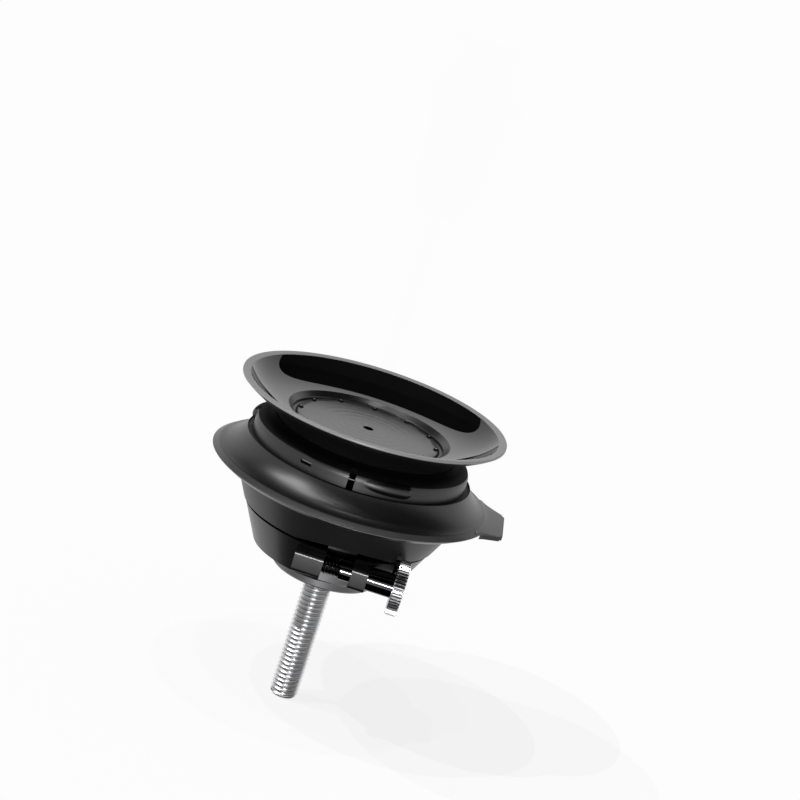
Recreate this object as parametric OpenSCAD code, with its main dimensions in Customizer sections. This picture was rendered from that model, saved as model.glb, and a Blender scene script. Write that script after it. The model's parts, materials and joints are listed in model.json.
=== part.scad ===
// Stem cap phone mount: a round head with a rubber suction cup, magnets and a
// vent valve, clamped by a split band on a turned cap that bolts into the stem.
// Up is +Z, the stem's top face is Z = 0, and the release tab points to +X.

/* [Stem cap] */
// Radius of the cap's base that stands on the stem
cap_base_r = 13.5; // [12.8:0.1:13.8]
// Height of the cap's base below the flange bevel
cap_base_h = 2.6; // [2.2:0.1:3]
// Radius of the two clamped flanges
flange_r = 15; // [14.6:0.1:15.4]
// Height of the bevel that the band pulls on
bevel_h = 1; // [0.8:0.1:1.3]
// Thickness of each flange's straight edge
flange_h = 1.4; // [1.1:0.1:1.7]
// Wall round the pocket in the cap and the head's foot
foot_wall = 2; // [1.6:0.1:2.6]
// Radius of the spigot that centres the cap in the steerer
spigot_r = 11; // [10:0.1:11.3]
// Length of that spigot
spigot_h = 2.5; // [1.5:0.1:4]
// Thickness of the cap under the bolt's head
cap_web = 3.7; // [3:0.1:4.2]

/* [Stem bolt] */
// Thread diameter of the stem bolt
bolt_d = 6; // [5:0.5:6]
// Length of the stem bolt under its head
bolt_len = 35; // [25:1:50]
// Diameter of the plain shank between the head and the thread
bolt_shank_d = 5.3; // [5:0.1:5.4]
// Diameter of the bolt's low head
bolt_head_d = 10; // [9:0.5:11]
// Height of the bolt's low head
bolt_head_h = 4; // [3:0.1:4.8]
// Width across flats of the bolt's hexagon socket
bolt_key = 4; // [3:0.5:5]

/* [Clamp band] */
// Height of the band's lower edge over the stem
band_lift = 1; // [0.7:0.1:1.4]
// Height of the clamp band
band_h = 8.1; // [7.8:0.1:8.6]
// Width of the gap between the two lugs
lug_gap = 5.9; // [4.5:0.1:6.5]
// Distance of the gap's middle from the centre plane
lug_shift = 2.65; // [2:0.05:3.2]
// Width of the tapped lug
tapped_lug_w = 5.8; // [4.5:0.1:6.5]
// Width of the plain lug
plain_lug_w = 3.3; // [2.6:0.1:4]
// Height of both lugs
lug_h = 4.6; // [4.4:0.1:5.2]
// Metal of the lugs in front of the screw's axis
lug_nose = 3.3; // [3:0.1:3.8]
// Corner radius of the lugs
lug_round = 0.9; // [0.5:0.1:1.2]

/* [Thumbscrew] */
// Thread diameter of the thumbscrew
screw_d = 4; // [3.5:0.1:4.2]
// Distance of the screw's axis from the flanges' edge
screw_step = 3; // [2.8:0.1:3.4]
// Outer diameter of the spacer sleeve
sleeve_d = 4.9; // [4.7:0.1:5.4]
// Length of the spacer sleeve
sleeve_len = 5.1; // [4.5:0.1:6]
// Diameter of the knurled head
knob_d = 11.2; // [9.5:0.1:11.6]
// Thickness of the knurled head
knob_h = 2.3; // [1.8:0.1:3.2]
// Number of teeth round the knurled head
knob_teeth = 48; // [36:2:56]
// Depth of the knurl
knob_tooth = 0.32; // [0.2:0.02:0.4]

/* [Bowl] */
// How far the lower cone would stand out past the flanges where it meets the stem
cone_foot_w = 0.55; // [0.3:0.05:0.7]
// How far the bowl's rim stands out past the collar
bowl_rim_w = 2.37; // [2.2:0.01:2.5]
// Height of the bowl from its lower edge to its rim
bowl_h = 9; // [8.8:0.1:9.4]
// Thickness of the bowl's floor
bowl_floor = 2.6; // [2.4:0.1:3]
// Thickness of the bowl's wall
bowl_wall = 2; // [1.6:0.1:2.3]
// Height of the arch over the lugs
arch_h = 1.2; // [0.6:0.1:1.6]
// Radius of the arch over the lugs
arch_r = 40; // [30:1:50]

/* [Housing screws] */
// Diameter of the housing screws
hscrew_d = 2.5; // [2:0.1:2.6]
// Height of the housing screws' heads
hscrew_head_h = 1.4; // [1:0.1:1.5]
// How far the housing screws reach into the collar's posts
hscrew_bite = 5.2; // [4:0.1:5.4]
// Distance of the housing screws from the bowl's lower edge
hscrew_inset = 3.49; // [3.4:0.01:3.6]
// Radius of the posts that take the housing screws
post_r = 2.3; // [2:0.1:2.5]

/* [Collar] */
// Outer radius of the collar that shows
collar_r = 22.4; // [22.2:0.1:22.5]
// Wall of the collar
collar_wall = 1.5; // [1.2:0.1:1.6]
// Height of the collar above the bowl's rim
collar_h = 9.6; // [9.4:0.1:10]
// Radius of the collar's rounded shoulder
shoulder_r = 2.4; // [1.6:0.1:2.6]
// How far the bearing inside the release ring stands out past the collar's wall
bearing_step = 0.22; // [0.2:0.01:0.3]
// Width of the flange that keeps the release ring on
keeper_w = 3.38; // [3.2:0.01:3.5]
// Thickness of that flange
keeper_h = 1.1; // [0.9:0.1:1.2]
// Bevel on that flange's top edge
keeper_bevel = 0.6; // [0.4:0.1:0.7]
// Width of the collar's top, from its wall to its opening
mouth_step = 3.5; // [3.2:0.1:3.7]
// Thickness of the collar's top lip
collar_lip = 0.8; // [0.6:0.1:1]
// Width of the clip windows
window_w = 2.5; // [2:0.1:3]
// Height of the clip windows
window_h = 0.8; // [0.6:0.1:1]
// Radius of the bayonet ramps
ramp_r = 1.5; // [1.2:0.1:1.6]
// How far the bayonet ramps stand out
ramp_out = 0.9; // [0.5:0.1:1]

/* [Release ring] */
// Width of the gap between the collar and the release ring's top edge
ring_gap = 1.1; // [1:0.1:1.4]
// Width of the release ring's hollow flare
ring_flare_w = 4.62; // [4.4:0.02:4.8]
// Width of the sloping rim round the flare
ring_rim_w = 1.24; // [1:0.02:1.4]
// Height of the ring's top inner edge over its underside
ring_h = 5.2; // [5:0.1:5.5]
// Height of the crease between the flare and the rim over the ring's underside
ring_edge_h = 1; // [0.8:0.1:1.1]
// How far the release tab stands out past the ring
tab_len = 2.94; // [2.4:0.02:3.5]
// Half width of the release tab at its end
tab_half_w = 6.7; // [6:0.1:7]
// Angle at which each side of the tab closes in towards its end
tab_taper = 28; // [20:1:32]
// Radius of the hollows where the tab's sides run into the ring
tab_fillet = 4; // [3:0.1:5]
// Thickness of the tab below the ring's underside
tab_drop = 0.8; // [0.5:0.1:0.9]
// Thickness of the plate that keeps the ring on the collar
plate_h = 1.2; // [1:0.1:1.2]

/* [Vent valve] */
// Angle that the release ring turns
ring_turn = 22; // [18:1:24]
// Distance that the lifter drops over that turn
lift_drop = 1.2; // [1:0.05:1.25]
// Diameter of the three lifter pins
pin_d = 1.2; // [1:0.05:1.3]
// Gap round the lifter plate
lifter_gap = 1.1; // [0.8:0.1:1.6]
// Thickness of the lifter plate
lifter_h = 1.6; // [1.5:0.1:1.8]
// Radius of the plunger's stem
stem_r = 1.2; // [1:0.05:1.3]
// Radius of the plunger's head
valve_head_r = 2.4; // [2:0.1:2.8]
// Thickness of the plunger's head
valve_head_h = 1; // [0.8:0.1:1.1]
// Thickness of the valve's rubber seal
seal_h = 0.7; // [0.5:0.1:0.9]
// Wire diameter of the return spring
spring_wire = 0.8; // [0.6:0.1:0.9]
// Mean radius of the return spring
spring_r = 6; // [5.5:0.1:7]
// Turns of the return spring
spring_turns = 4.5; // [3.5:0.5:5.5]

/* [Suction cup] */
// Width of the cup's floor, from its neck to the disc
cup_floor_w = 3.9; // [3.7:0.1:4.2]
// Thickness of the contact disc
disc_h = 1.5; // [1.2:0.1:1.6]
// Radius of the vent hole
vent_r = 0.95; // [0.7:0.05:1.2]
// Number of pips on the disc
pips = 12; // [8:1:16]
// Radius of each pip
pip_r = 0.5; // [0.4:0.05:0.6]
// Height of each pip
pip_h = 0.35; // [0.25:0.05:0.5]
// How far the cup's rim stands out past the collar
rim_flare = 5.3; // [4.6:0.1:6]
// Height of the rim over the disc
rim_h = 5.35; // [5:0.05:6]
// Width of the rim's flat lip
lip_w = 1.7; // [1.4:0.1:2]
// Thickness of the rim's edge
lip_h = 0.6; // [0.5:0.1:0.9]
// Width of the ledge round the disc in the cup's hollow
cup_ledge = 1.9; // [1.6:0.1:2.2]

/* [Magnets] */
// Radius left free for the valve between the magnets
magnet_core = 5.2; // [4.8:0.1:5.6]
// Width of the carrier's wall outside each magnet
magnet_wall = 1; // [0.8:0.1:1.4]
// Height of each magnet
magnet_h = 3.3; // [3:0.1:3.4]
// Thickness of the steel yoke under the magnets
yoke_h = 1.2; // [1:0.1:1.3]

/* [Hidden] */
$fn = 96;
eps = 0.01;
fit = 0.1;
run_fit = 0.05;
bearing_fit = 0.08;
gap = 0.3;
chamfer = 0.4;

// Levels, from the stem upwards
joint_z = cap_base_h + bevel_h + flange_h;
bolt_tip_z = cap_web - bolt_len;
screw_z = joint_z + 0.53;
band_top = band_lift + band_h;
bowl_z = band_top + gap;
floor_z = bowl_z + bowl_floor;
bowl_top = bowl_z + bowl_h;
ring_z = bowl_top - 0.2;
keeper_top = bowl_top + keeper_h;
web_z = keeper_top + 0.2;
ring_top = ring_z + ring_h;
crease_z = ring_z + ring_edge_h;
step_z = ring_top - 1;
collar_top = bowl_top + collar_h;
pin_z = keeper_top + fit + lift_drop + pin_d / 2;
lifter_z = pin_z - lifter_h / 2;
lifter_top = lifter_z + lifter_h;
carrier_z = lifter_top + 0.4;
seat_z = collar_top - collar_lip - 1.2;
disc_z = collar_top - 0.05;
disc_top = disc_z + disc_h;
rim_z = disc_top + rim_h;
magnet_z = disc_z - magnet_h;
yoke_z = magnet_z - yoke_h;

// Radii that follow from the ones above
cone_foot_r = flange_r + cone_foot_w;
bearing_r = collar_r + bearing_step;
keeper_r = bearing_r + keeper_w;
collar_mouth_r = collar_r - mouth_step;
ring_lip_r = collar_r + ring_gap;
crease_r = ring_lip_r + ring_flare_w;
ring_r = crease_r + ring_rim_w;
tab_reach = ring_r + tab_len;
rim_r = collar_r + rim_flare;
disc_r = collar_mouth_r - cup_floor_w;
cup_floor_r = disc_r + cup_ledge;
cone_slope = (collar_r + bowl_rim_w - cone_foot_r) / bowl_top;
hscrew_reach = cone_r(bowl_z) - hscrew_inset;
magnet_r = (disc_r - magnet_wall - magnet_core) / 2;
magnet_reach = magnet_core + magnet_r;
band_bore_r = cap_base_r + 0.4;
groove_r = flange_r + 0.4;
pocket_r = cap_base_r - foot_wall;
collar_bore = collar_r - collar_wall;
socket_r = bearing_r - 0.32;
ring_bore = bearing_r + bearing_fit;
cavity_r = keeper_r + 0.2;
plate_bore = cone_r(bowl_top) + gap;
plate_r = ring_r - 0.4;
carrier_r = collar_bore - fit;
lifter_r = collar_bore - lifter_gap;
pin_root_r = lifter_r - 7.7;
cup_neck_r = collar_mouth_r - 0.2;
cup_bore_r = disc_r + 0.2;
carrier_step_r = cup_neck_r - 1.4;
yoke_r = disc_r;
pip_reach = disc_r - pip_r - 0.2;
post_bore = hscrew_d / 2 + run_fit;

// Places round the collar: a slot, a window and a ramp, three times
places = [0, 120, 240];
slot_az = -90;
window_az = -115;
ramp_az = -61;
post_az = -30;
slot_w = pin_d + 0.2;
window_z = collar_top - 2.9;
ramp_z = collar_top - 2.8;

// The thumbscrew's axis and its stations along X
screw_reach = flange_r + screw_step;
gap_x0 = lug_shift - lug_gap / 2;
gap_x1 = lug_shift + lug_gap / 2;
lug_x0 = gap_x0 - tapped_lug_w;
lug_x1 = gap_x1 + plain_lug_w;
sleeve_x = lug_x1 + run_fit;
knob_x = sleeve_x + sleeve_len + run_fit;
tap_r = screw_d / 2 + run_fit;

// Outer radius of the lower cone at a height
function cone_r(z) = cone_foot_r + cone_slope * z;

// Points along a curve with two handles
function curve_point(a, b, c, d, t) =
    a * pow(1 - t, 3) + b * 3 * t * pow(1 - t, 2) + c * 3 * t * t * (1 - t) + d * pow(t, 3);
function curve(a, b, c, d, steps) = [for (i = [0:steps]) curve_point(a, b, c, d, i / steps)];

// A disc with a chamfer at both ends
module turned(r, h, c) {
    rotate_extrude()
        polygon([[0, 0], [r - c, 0], [r, c], [r, h - c], [r - c, h], [0, h]]);
}

// A flat ring
module washer(r_out, r_in, h) {
    difference() {
        cylinder(r = r_out, h = h);
        translate([0, 0, -eps]) cylinder(r = r_in, h = h + 2 * eps);
    }
}

// Anything that stands at the three places round the collar
module three_times(az) {
    for (a = places) rotate([0, 0, a + az]) children();
}

// Turned cap that stands on the stem; the band pulls on its bevelled flange
module stem_adapter() {
    color("dimgray") difference() {
        rotate_extrude() polygon([
            [0, -spigot_h],
            [spigot_r - chamfer, -spigot_h],
            [spigot_r, chamfer - spigot_h],
            [spigot_r, 0],
            [cap_base_r - chamfer, 0],
            [cap_base_r, chamfer],
            [cap_base_r, cap_base_h],
            [flange_r, cap_base_h + bevel_h],
            [flange_r, joint_z],
            [0, joint_z]]);
        translate([0, 0, cap_web]) cylinder(r = pocket_r, h = joint_z - cap_web + eps);
        translate([0, 0, -spigot_h - eps])
            cylinder(r = bolt_d / 2 + 0.2, h = spigot_h + cap_web + 2 * eps);
    }
}

// Low head bolt that pulls the cap down on the stem
module stem_bolt() {
    thread_len = bolt_len - cap_web - spigot_h - gap;
    color("silver") translate([0, 0, bolt_tip_z]) difference() {
        union() {
            rotate_extrude() polygon([
                [0, 0],
                [bolt_d / 2 - 0.6, 0],
                [bolt_d / 2, 0.6],
                [bolt_d / 2, thread_len],
                [bolt_shank_d / 2, thread_len + 0.2],
                [bolt_shank_d / 2, bolt_len],
                [0, bolt_len]]);
            translate([0, 0, bolt_len]) turned(bolt_head_d / 2, bolt_head_h, chamfer);
        }
        translate([0, 0, bolt_len + bolt_head_h - 2.3])
            cylinder(d = bolt_key / cos(30), h = 2.3 + eps, $fn = 6);
    }
}

// Outline of a lug, seen along the screw, with the screw's axis at the origin
module lug_outline() {
    depth = screw_reach - groove_r + lug_nose;
    translate([-lug_nose, lug_round - lug_h / 2]) square([depth, lug_h - 2 * lug_round]);
    translate([lug_round - lug_nose, -lug_h / 2]) square([depth - lug_round, lug_h]);
    for (s = [-1, 1])
        translate([lug_round - lug_nose, s * (lug_h / 2 - lug_round)]) circle(r = lug_round);
}

// Moves a shape drawn in the lugs' outline to the screw's axis, along +X
module along_screw(x) {
    translate([x, -screw_reach, screw_z]) rotate([90, 0, 90]) children();
}

// Split band with a V groove: it pulls the two flanges together
module clamp_band() {
    groove_low = cap_base_h + bevel_h - 0.2;
    groove_high = joint_z + flange_h + 0.2;
    color("#2a2a2c") difference() {
        union() {
            difference() {
                rotate_extrude() polygon([
                    [band_bore_r, band_lift],
                    [cone_r(band_lift) - 0.2, band_lift],
                    [cone_r(band_top) - 0.2, band_top],
                    [band_bore_r, band_top],
                    [band_bore_r, groove_high + bevel_h],
                    [groove_r, groove_high],
                    [groove_r, groove_low],
                    [band_bore_r, groove_low - bevel_h]]);
                translate([gap_x0, -2 * screw_reach, 0])
                    cube([lug_gap, 2 * screw_reach, band_top + 1]);
            }
            along_screw(lug_x0) linear_extrude(tapped_lug_w) lug_outline();
            along_screw(gap_x1) linear_extrude(plain_lug_w) lug_outline();
        }
        along_screw(lug_x0 - eps) cylinder(r = tap_r, h = lug_x1 - lug_x0 + 1);
        along_screw(lug_x1) cylinder(r = sleeve_d / 2 + gap, h = sleeve_len);
        along_screw(knob_x - 0.8) cylinder(r = knob_d / 2 + 0.5, h = cone_r(bowl_top));
    }
}

// Thumbscrew with a straight-knurled head
module thumbscrew() {
    pitch = 360 / knob_teeth;
    tip_r = knob_d / 2;
    root_r = tip_r - knob_tooth;
    color("silver") {
        along_screw(lug_x0 + 0.3)
            turned(screw_d / 2, knob_x - lug_x0, 0.3);
        along_screw(knob_x) intersection() {
            linear_extrude(knob_h) polygon([for (i = [0:knob_teeth - 1], s = [0:3])
                let (a = pitch * (i + [0, 0.3, 0.5, 0.8][s]), r = [root_r, tip_r, tip_r, root_r][s])
                [r * cos(a), r * sin(a)]]);
            turned(tip_r, knob_h, 0.25);
        }
    }
}

// Plain tube between the thumbscrew's head and the plain lug
module spacer_sleeve() {
    color("gainsboro") along_screw(sleeve_x)
        washer(sleeve_d / 2, screw_d / 2 + run_fit, sleeve_len);
}

// Lower housing: a foot flange for the band, a conical shell and a rim for the collar
module bowl() {
    spring_boss_r = spring_r - spring_wire / 2 - gap;
    color("#2c2c2e") difference() {
        union() {
            rotate_extrude() polygon([
                [0, joint_z],
                [flange_r, joint_z],
                [flange_r, joint_z + flange_h],
                [cap_base_r, joint_z + flange_h + bevel_h],
                [cap_base_r, bowl_z],
                [cone_r(bowl_z), bowl_z],
                [cone_r(bowl_top), bowl_top],
                [socket_r, bowl_top],
                [socket_r, bowl_top - 2.3],
                [cone_r(bowl_top - 2.3) - bowl_wall, bowl_top - 2.3],
                [cone_r(floor_z) - bowl_wall, floor_z],
                [0, floor_z]]);
            translate([0, 0, floor_z - eps]) turned(spring_boss_r, 2, chamfer);
        }
        translate([0, 0, joint_z - eps]) cylinder(r = pocket_r, h = bowl_z - joint_z + 0.5);
        three_times(post_az) translate([hscrew_reach, 0, bowl_z - eps]) {
            cylinder(d = 2 * hscrew_d - 0.4, h = hscrew_head_h + fit + eps);
            cylinder(r = post_bore, h = bowl_floor + 1);
        }
        translate([lug_shift, -cone_r(bowl_top) - 1, bowl_z + arch_h - arch_r])
            rotate([-90, 0, 0]) cylinder(r = arch_r, h = cone_r(bowl_top) - flange_r + 0.5);
        along_screw(knob_x - 0.8) cylinder(r = knob_d / 2 + 0.5, h = cone_r(bowl_top));
    }
}

// Pan head screws that pull the collar down into the bowl
module housing_screws() {
    color("silver") three_times(post_az) translate([hscrew_reach, 0, bowl_z + 0.1]) difference() {
        union() {
            turned(hscrew_d - 0.4, hscrew_head_h, 0.3);
            cylinder(d = hscrew_d, h = bowl_floor + hscrew_bite);
        }
        translate([0, 0, -eps]) cylinder(r = 0.8, h = 0.8, $fn = 6);
    }
}

// Rounded wall of the collar, as a section
module collar_section() {
    wall_top = collar_top - 0.4 - shoulder_r;
    difference() {
        union() {
            translate([collar_bore, bowl_top - 2.2]) square([socket_r - fit - collar_bore, 3]);
            polygon([
                [collar_bore, bowl_top],
                [keeper_r, bowl_top],
                [keeper_r, keeper_top - keeper_bevel],
                [keeper_r - keeper_bevel, keeper_top],
                [collar_bore, keeper_top]]);
            translate([collar_bore, bowl_top]) square([bearing_r - collar_bore, step_z - bowl_top - fit]);
            translate([collar_bore, bowl_top]) square([collar_wall, wall_top - bowl_top]);
            translate([collar_r - shoulder_r, wall_top]) circle(r = shoulder_r);
            polygon([
                [collar_mouth_r, collar_top - collar_lip],
                [collar_r - shoulder_r, collar_top - collar_lip - 1.6],
                [collar_r - shoulder_r, wall_top + shoulder_r],
                [collar_mouth_r, collar_top]]);
        }
        translate([0, bowl_top - 3]) square([collar_bore, collar_h + 3 - collar_lip]);
    }
}

// Bayonet ramp: a tube that leaves the wall slowly and ends in a slightly slimmer round nose
module ramp() {
    path_r = 14;
    sweep = 38;
    centre = collar_r - ramp_r + ramp_out - path_r;
    translate([centre, 0, ramp_z]) {
        rotate([0, 0, -sweep]) rotate_extrude(angle = sweep) translate([path_r, 0]) circle(r = ramp_r);
        translate([path_r - eps, -2 * eps, 0]) sphere(r = ramp_r - 0.06);
    }
}

// Upper housing: bearing for the release ring, guide slots, clip windows and ramps
module collar() {
    color("#262628") difference() {
        union() {
            rotate_extrude() collar_section();
            difference() {
                three_times(ramp_az) ramp();
                translate([0, 0, bowl_top]) cylinder(r = collar_bore + 0.5, h = collar_h);
            }
            difference() {
                three_times(post_az) {
                    translate([hscrew_reach, 0, floor_z]) cylinder(r = post_r, h = keeper_top - floor_z - 0.8);
                    translate([hscrew_reach, -post_r / 2, bowl_top - 2.2])
                        cube([collar_bore + 0.5 - hscrew_reach, post_r, 2.4]);
                }
                three_times(post_az) translate([hscrew_reach, 0, floor_z - 1])
                    cylinder(r = post_bore, h = hscrew_bite + 1.3);
            }
        }
        three_times(slot_az) translate([collar_bore - 1, -slot_w / 2, bowl_top - 3])
            cube([3 + collar_wall - 0.4, slot_w, collar_h + 3 - collar_lip + 0.1]);
        three_times(window_az) translate([collar_bore - 1, -window_w / 2, window_z - window_h / 2])
            cube([4, window_w, window_h]);
    }
}

// Split seal that fills the gap between the collar and the release ring
module gap_seal() {
    color("#1c1c1c") translate([0, 0, step_z + fit]) difference() {
        washer(ring_lip_r - 0.15, collar_r + run_fit, 0.5);
        for (i = [0:11]) rotate([0, 0, 30 * i + 15])
            translate([collar_r + 0.45, -0.2, 0.2]) cube([2, 0.4, 1]);
    }
}

// Hollow flare of the release ring, from its inner edge to the crease at its rim
function ring_flare() = curve([ring_lip_r, ring_top], [ring_lip_r + 0.95, ring_top - 2],
    [crease_r - 1.82, crease_z + 0.25], [crease_r, crease_z], 14);

// The foot of that flare drawn out into the tab
function tab_flare() = curve([crease_r - 1.9, crease_z + 0.65], [crease_r - 0.5, crease_z - 0.1],
    [ring_r + 0.15, crease_z - 0.5], [tab_reach + 1.2, crease_z - 0.95], 8);

// Plan of the tab: straight end, sides that close in, and hollows that run into the ring
module tab_plan() {
    side = [cos(tab_taper), -sin(tab_taper)];
    out = [sin(tab_taper), cos(tab_taper)];
    side_reach = tab_reach * out[0] + tab_half_w * out[1] + tab_fillet;
    root_reach = ring_r - 0.3 + tab_fillet;
    hollow = side_reach * out + sqrt(root_reach * root_reach - side_reach * side_reach) * side;
    touch = hollow - tab_fillet * out;
    root = hollow * (ring_r - 0.3) / root_reach;
    difference() {
        for (s = [-1, 1]) scale([1, s]) polygon([
            [ring_lip_r, 0], [ring_lip_r, root[1] - 1], root, hollow, touch,
            [tab_reach, tab_half_w], [tab_reach, 0]]);
        for (s = [-1, 1]) {
            translate([hollow[0], s * hollow[1]]) circle(r = tab_fillet);
            translate([tab_reach, s * tab_half_w]) rotate(45) square(1.1, center = true);
        }
    }
}

// Release ring with its tab, and three sloping grooves that drive the lifter
module release_ring() {
    drive_r = ring_bore + 0.2;
    drive_len = drive_r * ring_turn * PI / 180;
    slope = atan2(lift_drop, drive_len);
    pin_end = ring_bore + 0.8;
    color("#1f1f21") difference() {
        union() {
            rotate_extrude() polygon(concat(
                [[cavity_r, ring_z], [cavity_r, web_z - keeper_bevel - 0.1],
                 [cavity_r - keeper_bevel - 0.1, web_z], [ring_bore, web_z], [ring_bore, step_z],
                 [ring_lip_r, step_z]],
                ring_flare(), [[ring_r, ring_z + 0.15], [ring_r - 0.15, ring_z]]));
            intersection() {
                translate([0, 0, ring_z - tab_drop]) linear_extrude(ring_h) tab_plan();
                rotate_extrude() polygon(concat(
                    tab_flare(),
                    [[tab_reach + 1.2, ring_z - tab_drop], [ring_r - 0.1, ring_z - tab_drop],
                     [ring_r - 0.1, ring_z + 0.1], [crease_r - 1.9, ring_z + 0.1]]));
            }
        }
        three_times(slot_az - ring_turn / 2)
            translate([ring_bore - 1, 0, pin_z - lift_drop / 2]) rotate([slope, 0, 0])
                translate([0, -drive_len / 2 - pin_d / 2 - 0.2, -pin_d / 2 - 0.1])
                    cube([pin_end - ring_bore + 1, drive_len + pin_d + 0.4, pin_d + 0.2]);
    }
}

// Plate snapped under the ring: it hooks under the collar's flange
module ring_plate() {
    color("#242426") translate([0, 0, ring_z - plate_h]) rotate_extrude() polygon([
        [plate_bore, 0],
        [plate_r - 1.6, 0],
        [plate_r, plate_h - 0.2],
        [plate_r, plate_h],
        [plate_bore, plate_h]]);
}

// Plate that the ring lowers to open the vent
module lifter_plate() {
    hole_r = (lifter_r - spring_r) * 0.3;
    hole_reach = (lifter_r + spring_r - spring_wire) / 2;
    color("#303032") translate([0, 0, lifter_z]) difference() {
        turned(lifter_r, lifter_h, 0.3);
        three_times(slot_az + 60) translate([hole_reach, 0, -eps])
            cylinder(r = hole_r, h = lifter_h + 1);
        three_times(slot_az) translate([pin_root_r - fit, 0, lifter_h / 2]) rotate([0, 90, 0])
            cylinder(r = pin_d / 2 + 0.02, h = lifter_r);
        translate([0, 0, -eps]) cylinder(r = stem_r + run_fit, h = lifter_h + 1);
    }
}

// Steel pins that run in the collar's slots and the ring's grooves
module lifter_pins() {
    color("silver") three_times(slot_az) translate([pin_root_r, 0, pin_z]) rotate([0, 90, 0])
        turned(pin_d / 2, ring_bore + 0.6 - pin_root_r, 0.15);
}

// One ring of points round a coil, and the faces that join the rings
function coil_ring(a, z, sides) = [for (s = [0:sides - 1])
    let (b = 360 * s / sides, r = spring_r + spring_wire / 2 * cos(b))
    [r * cos(a), r * sin(a), z + spring_wire / 2 * sin(b)]];

// Coil spring that pushes the lifter up
module return_spring() {
    sides = 8;
    steps = 16 * spring_turns;
    low = floor_z + spring_wire / 2;
    high = lifter_z - spring_wire / 2;
    points = [for (i = [0:steps]) each coil_ring(360 * i / 16, low + (high - low) * i / steps, sides)];
    sides_faces = [for (i = [0:steps - 1], s = [0:sides - 1])
        let (t = (s + 1) % sides)
        [i * sides + s, i * sides + t, (i + 1) * sides + t, (i + 1) * sides + s]];
    first = [for (s = [sides - 1:-1:0]) s];
    last = [for (s = [0:sides - 1]) steps * sides + s];
    color("lightgray") polyhedron(points, concat([first], sides_faces, [last]), convexity = 8);
}

// Plunger of the vent valve
module valve_plunger() {
    head_z = disc_z - run_fit - seal_h - valve_head_h;
    color("#3a3a3c") {
        translate([0, 0, lifter_z - 0.9]) cylinder(r = stem_r, h = head_z - lifter_z + 1);
        translate([0, 0, lifter_top]) cylinder(r = stem_r + 0.6, h = 0.6);
        translate([0, 0, head_z]) turned(valve_head_r, valve_head_h, 0.15);
    }
}

// Push-on clip that holds the plunger to the lifter
module plunger_clip() {
    color("silver") translate([0, 0, lifter_z - 0.5]) difference() {
        washer(stem_r + 1.5, stem_r + 0.02, 0.5);
        for (a = [0, 90, 180, 270]) rotate([0, 0, a + 45])
            translate([0, -0.2, -eps]) cube([stem_r + 0.8, 0.4, 1]);
    }
}

// Rubber disc that closes the vent hole from below
module valve_seal() {
    color("#151515") translate([0, 0, disc_z - run_fit - seal_h])
        turned(valve_head_r - 0.1, seal_h, 0.15);
}

// Carrier that holds the magnets; its noses click into the collar's windows
module magnet_carrier() {
    color("#333335") difference() {
        union() {
            translate([0, 0, carrier_z]) cylinder(r = carrier_r, h = seat_z - carrier_z);
            translate([0, 0, carrier_z]) cylinder(r = carrier_step_r, h = disc_z - carrier_z);
            three_times(window_az) translate([carrier_r - 1, fit - window_w / 2, window_z - window_h / 2 + fit])
                cube([1 + collar_wall - 0.2, window_w - 2 * fit, window_h - 2 * fit]);
            three_times(slot_az) translate([carrier_r - 1, -slot_w / 2 + fit, window_z])
                cube([1 + collar_wall - 0.2, slot_w - 2 * fit, 0.7]);
        }
        translate([0, 0, carrier_z - eps]) cylinder(r = yoke_r + fit, h = magnet_z - carrier_z + eps);
        for (a = [45:90:315]) rotate([0, 0, a]) translate([magnet_reach, 0, magnet_z - 1])
            cylinder(r = magnet_r + run_fit, h = magnet_h + 2);
        translate([0, 0, carrier_z]) cylinder(r = valve_head_r + 0.6, h = disc_z);
    }
}

// Steel plate that closes the magnets' field below
module yoke_plate() {
    color("silver") translate([0, 0, yoke_z]) difference() {
        cylinder(r = yoke_r, h = yoke_h);
        translate([0, 0, -eps]) cylinder(r = stem_r + 0.4, h = yoke_h + 1);
    }
}

// One of the four magnets
module magnet(i) {
    color("gainsboro") rotate([0, 0, 90 * i - 45])
        translate([magnet_reach, 0, magnet_z]) turned(magnet_r, magnet_h, 0.25);
}

// Disc that the phone's plate rests on, with pips and the vent hole
module contact_disc() {
    color("#3c3c3e") difference() {
        union() {
            translate([0, 0, disc_z]) rotate_extrude() polygon([
                [0, 0],
                [disc_r, 0],
                [disc_r, disc_h - 0.3],
                [disc_r - 0.3, disc_h],
                [0, disc_h]]);
            for (i = [0:pips - 1]) rotate([0, 0, 360 * i / pips])
                translate([pip_reach, 0, disc_top - eps]) rotate_extrude($fn = 24)
                    polygon([[0, 0], [pip_r, 0], [pip_r * 0.85, pip_h * 0.7], [pip_r * 0.5, pip_h], [0, pip_h]]);
        }
        translate([0, 0, disc_z - 1]) cylinder(r = vent_r, h = disc_h + 2);
    }
}

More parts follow.
